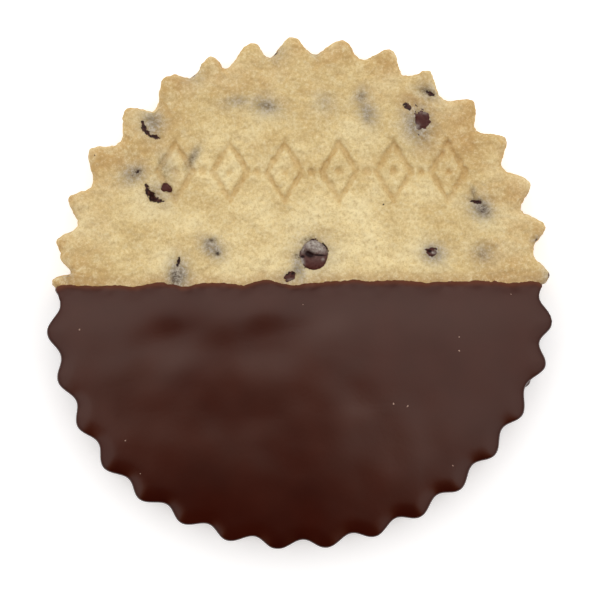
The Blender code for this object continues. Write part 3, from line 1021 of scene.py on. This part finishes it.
def waveFace(piece, line):
    points = pointsOf(piece)
    below = np.interp(points[:, 0], *line) - points[:, 1]
    atLip = bell(below, coat["frayedWidth"]) * smoothStep(*coat["frayedHeights"], points[:, 2])
    size, height = coat["frayed"]
    points[:, 1] += height * atLip * unevenness(points, size)
    onFace = smoothStep(*coat["faceHeights"], points[:, 2])
    for middle, halfSizes, turn, depth in faceDents:
        points[:, 2] -= onFace * depth * dentShare(points[:, :2], middle, halfSizes, turn)
    size, height = coat["swell"]
    points += height * unevenness(points, size)[:, None] * normalsOf(piece)
    keepInBox(points)
    movePoints(piece, points)


def cutHollow(piece, doughPiece):
    hollow = doughPiece.copy()
    hollow.data = doughPiece.data.copy()
    bpy.context.scene.collection.objects.link(hollow)
    applyModifier(hollow, "DISPLACE", strength=-coat["overlap"] * mm, mid_level=0.0)
    applyModifier(piece, "BOOLEAN", operation="DIFFERENCE", solver="MANIFOLD", object=hollow)
    bpy.data.objects.remove(hollow)


def paintCoat(piece, line):
    points = pointsOf(piece)
    below = np.interp(points[:, 0], *line) - points[:, 1]
    paintValue(piece, "thinness", 1.0 - smoothStep(0.0, coat["thinWidth"], below))
    paintValue(piece, "steepness", 1.0 - smoothStep(*coat["steepness"], normalsOf(piece)[:, 2]))
    lost = np.zeros(len(points))
    for middle, halfSizes, turn, strength in shinePlaces:
        lost += strength * spotShare(points[:, :2], middle, halfSizes, turn)
    lost *= smoothStep(*coat["faceHeights"], points[:, 2])
    paintValue(piece, "gloss", coat["evenGloss"] * (1.0 - lost))


def paintBesideLip(doughPiece, line):
    points = pointsOf(doughPiece)
    above = points[:, 1] - np.interp(points[:, 0], *line)
    paintValue(doughPiece, "darkerByLip", 1.0 - smoothStep(0.0, coat["darkerByLipWidth"], above))


def makeCoat(doughPiece):
    piece = copyOfNode("chocolate_coat", "chocolateCoat")
    fillHollow(piece)
    voxelMesh(piece, coat["voxel"])
    applyModifier(piece, "DISPLACE", strength=coat["growth"] * mm, mid_level=0.0)
    soften(piece, coat["firstSmoothing"])
    doughTree = BVHTree.FromObject(doughPiece, bpy.context.evaluated_depsgraph_get())
    line = shapeCoat(piece, doughTree)
    voxelMesh(piece, coat["voxel"])
    soften(piece, coat["lastSmoothing"])
    waveFace(piece, line)
    cutHollow(piece, doughPiece)
    paintCoat(piece, line)
    paintBesideLip(doughPiece, line)
    finishPiece(piece, chocolateMaterial(), "chocolate_coat")


coatLook = {
    "dark": (47, 12, 6),
    "pale": (54, 16, 8),
    "thin": (96, 52, 35),
    "cloudSize": 7.0,
    "mostShine": 0.614,
    "wallShine": 0.357,
    "thinShine": 0.5,
    "shineTint": (1.0, 0.73, 0.63, 1.0),
    "roughness": 0.13,
    "fineSize": 0.5,
    "bumpHeight": 0.004,
}


def chocolateMaterial():
    material, tree, surface = newMaterial("setChocolate")
    place = addNode(tree, "ShaderNodeTexCoord").outputs["Object"]
    thinness = readValue(tree, "thinness")
    steepness = readValue(tree, "steepness")
    cloudy = noiseValue(tree, place, coatLook["cloudSize"] * mm)
    dark = paint(*coatLook["dark"])
    pale = paint(*coatLook["pale"])
    colour = mixColour(tree, stretch(tree, cloudy, 0.3, 0.7), dark, pale)
    colour = mixColour(tree, thinness, colour, paint(*coatLook["thin"]))
    tree.links.new(colour, surface.inputs["Base Color"])
    shine = stretch(tree, steepness, 0.0, 1.0, coatLook["mostShine"], coatLook["wallShine"])
    kept = stretch(tree, thinness, 0.0, 1.0, 1.0, coatLook["thinShine"])
    shine = calculate(tree, "MULTIPLY", shine, kept)
    shine = calculate(tree, "MULTIPLY", shine, readValue(tree, "gloss"))
    tree.links.new(shine, surface.inputs["Specular IOR Level"])
    surface.inputs["Roughness"].default_value = coatLook["roughness"]
    surface.inputs["Specular Tint"].default_value = coatLook["shineTint"]
    fine = noiseValue(tree, place, coatLook["fineSize"] * mm)
    addBump(tree, surface, fine, coatLook["bumpHeight"] * mm, 0.5)
    return material


crumbShape = {
    "sunk": 0.3,
    "roughness": 0.3,
    "noiseSize": 0.6,
    "grainSize": 0.12,
    "dark": (150, 112, 98),
    "pale": (196, 168, 150),
}

# pale crumbs that stuck to the set chocolate: x, y and size
crumbs = [
    (-32.6, -5.4, 0.3), (-25.8, -21.9, 0.28), (-23.6, -26.8, 0.22), (23.6, -8.6, 0.35), (23.6, -6.5, 0.24),
    (13.9, -16.4, 0.3), (16.0, -16.8, 0.32), (31.3, -0.2, 0.26), (22.7, -25.6, 0.24), (0.5, -1.7, 0.2),
]


def makeCrumbs():
    coatPiece = bpy.data.objects["chocolateCoat"]
    tree = BVHTree.FromObject(coatPiece, bpy.context.evaluated_depsgraph_get())
    above = 2.0 * cadBox[1][2]
    made = []
    for x, y, size in crumbs:
        top = tree.ray_cast(Vector((x * mm, y * mm, above)), Vector((0.0, 0.0, -1.0)))[0]
        middle = top - Vector((0.0, 0.0, crumbShape["sunk"] * size * mm))
        bpy.ops.mesh.primitive_ico_sphere_add(subdivisions=3, radius=0.5 * size * mm, location=middle)
        piece = bpy.context.view_layer.objects.active
        bpy.ops.object.transform_apply(location=True, rotation=True, scale=True)
        points = pointsOf(piece)
        rough = crumbShape["roughness"] * size * unevenness(points, crumbShape["noiseSize"] * size)
        movePoints(piece, points + rough[:, None] * normalsOf(piece))
        made.append(piece)
    piece = joinPieces(made, "looseCrumbs")
    finishPiece(piece, crumbMaterial())


def crumbMaterial():
    material, tree, surface = newMaterial("crumb")
    place = addNode(tree, "ShaderNodeTexCoord").outputs["Object"]
    grain = noiseValue(tree, place, crumbShape["grainSize"] * mm)
    colour = mixColour(tree, grain, paint(*crumbShape["dark"]), paint(*crumbShape["pale"]))
    tree.links.new(colour, surface.inputs["Base Color"])
    surface.inputs["Roughness"].default_value = 0.8
    return material


# floor, light and camera

studio = {
    "floorSize": 3.0,  # metres, as is the camera's height
    "paperDark": (244, 244, 244),
    "paperPale": (250, 250, 250),
    "mottleSize": 40.0,
    "cameraHeight": 0.4,
    "frameWidth": 89.1,  # mm across the picture, at the level of the face
    "frameMiddle": (0.05, -1.05),
    "sensorWidth": 36.0,
    "overhead": 1.82,  # brightness of the broad panel overhead, and of the room round it
    "surroundings": 0.81,
    "panelSlope": (0.12, 1.6),  # it fades out between these slopes from straight up
    "lowestRise": 0.02,
    "nearEdge": -0.035,  # the near half of the room, from this slope on, gives less light
    "nearShare": 0.85,
    "glow": 0.4,
}

# a dim, warm patch in the room, nearly overhead: its place and half sizes as slopes from straight up,
# and how fast it widens past which slope
dimPatch = {
    "across": -0.034,
    "up": -0.11,
    "halfWidth": 0.066,
    "halfHeight": 0.078,
    "widening": 11.0,
    "widensBelow": -0.05,
    "warmBy": 0.7,
    "warmth": (1.0, 0.5, 0.22, 1.0),
}


def makeFloor():
    bpy.ops.mesh.primitive_plane_add(size=studio["floorSize"])
    floor = bpy.context.view_layer.objects.active
    floor.name = "paleFloor"
    material, tree, surface = newMaterial("palePaper")
    place = addNode(tree, "ShaderNodeTexCoord").outputs["Object"]
    mottle = noiseValue(tree, place, studio["mottleSize"] * mm)
    colour = mixColour(tree, mottle, paint(*studio["paperDark"]), paint(*studio["paperPale"]))
    tree.links.new(colour, surface.inputs["Base Color"])
    surface.inputs["Roughness"].default_value = 0.9
    surface.inputs["Specular IOR Level"].default_value = 0.1
    surface.inputs["Emission Color"].default_value = (1.0, 1.0, 1.0, 1.0)
    surface.inputs["Emission Strength"].default_value = studio["glow"]
    floor.data.materials.append(material)


def makeRoom():
    world = bpy.data.worlds.new("softRoom")
    world.use_nodes = True
    bpy.context.scene.world = world
    tree = world.node_tree
    direction = addNode(tree, "ShaderNodeTexCoord").outputs["Generated"]
    axes = addNode(tree, "ShaderNodeSeparateXYZ", {0: direction}).outputs
    rise = calculate(tree, "MAXIMUM", axes["Z"], studio["lowestRise"])
    across = calculate(tree, "DIVIDE", axes["X"], rise)
    up = calculate(tree, "DIVIDE", axes["Y"], rise)

    def squared(value, middle, half):
        away = calculate(tree, "MULTIPLY", calculate(tree, "SUBTRACT", value, middle), 1.0 / half)
        return calculate(tree, "MULTIPLY", away, away)

    fromTop = calculate(tree, "ADD", squared(across, 0.0, 1.0), squared(up, 0.0, 1.0))
    fromTop = calculate(tree, "SQRT", fromTop)
    panel = stretch(tree, fromTop, *studio["panelSlope"], studio["overhead"], studio["surroundings"])
    near = stretch(tree, up, studio["nearEdge"], 0.0, studio["nearShare"], 1.0)
    panel = calculate(tree, "MULTIPLY", panel, near)
    short = calculate(tree, "MAXIMUM", up, dimPatch["up"])
    further = calculate(tree, "MAXIMUM", calculate(tree, "SUBTRACT", dimPatch["widensBelow"], up), 0.0)
    wider = calculate(tree, "ADD", calculate(tree, "MULTIPLY", further, dimPatch["widening"]), 1.0)
    sideways = calculate(tree, "DIVIDE", calculate(tree, "SUBTRACT", across, dimPatch["across"]), wider)
    inside = calculate(tree, "ADD", squared(sideways, 0.0, dimPatch["halfWidth"]),
                       squared(short, dimPatch["up"], dimPatch["halfHeight"]))
    dimness = calculate(tree, "EXPONENT", calculate(tree, "MULTIPLY", squared(inside, 0.0, 1.0), -1.0))
    background = tree.nodes["Background"]
    light = calculate(tree, "MULTIPLY", panel, calculate(tree, "SUBTRACT", 1.0, dimness))
    tree.links.new(light, background.inputs["Strength"])
    warm = stretch(tree, dimness, 0.0, dimPatch["warmBy"])
    tint = mixColour(tree, warm, (1.0, 1.0, 1.0, 1.0), dimPatch["warmth"])
    tree.links.new(tint, background.inputs["Color"])


def makeCamera():
    lens = bpy.data.cameras.new("overTheBiscuit")
    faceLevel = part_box("shortbread")[0].z + dough["height"] * mm
    lens.sensor_width = studio["sensorWidth"]
    lens.lens = lens.sensor_width * (studio["cameraHeight"] - faceLevel) / (studio["frameWidth"] * mm)
    lens.clip_start = 0.01
    camera = bpy.data.objects.new("overTheBiscuit", lens)
    x, y = studio["frameMiddle"]
    camera.location = (x * mm, y * mm, studio["cameraHeight"])
    bpy.context.scene.collection.objects.link(camera)
    bpy.context.scene.camera = camera
    bpy.context.scene.view_settings.view_transform = "Standard"


doughRound = makeDough()
makeChips()
makeCoat(doughRound)
makeCrumbs()
makeFloor()
makeRoom()
makeCamera()
print("studio ready")
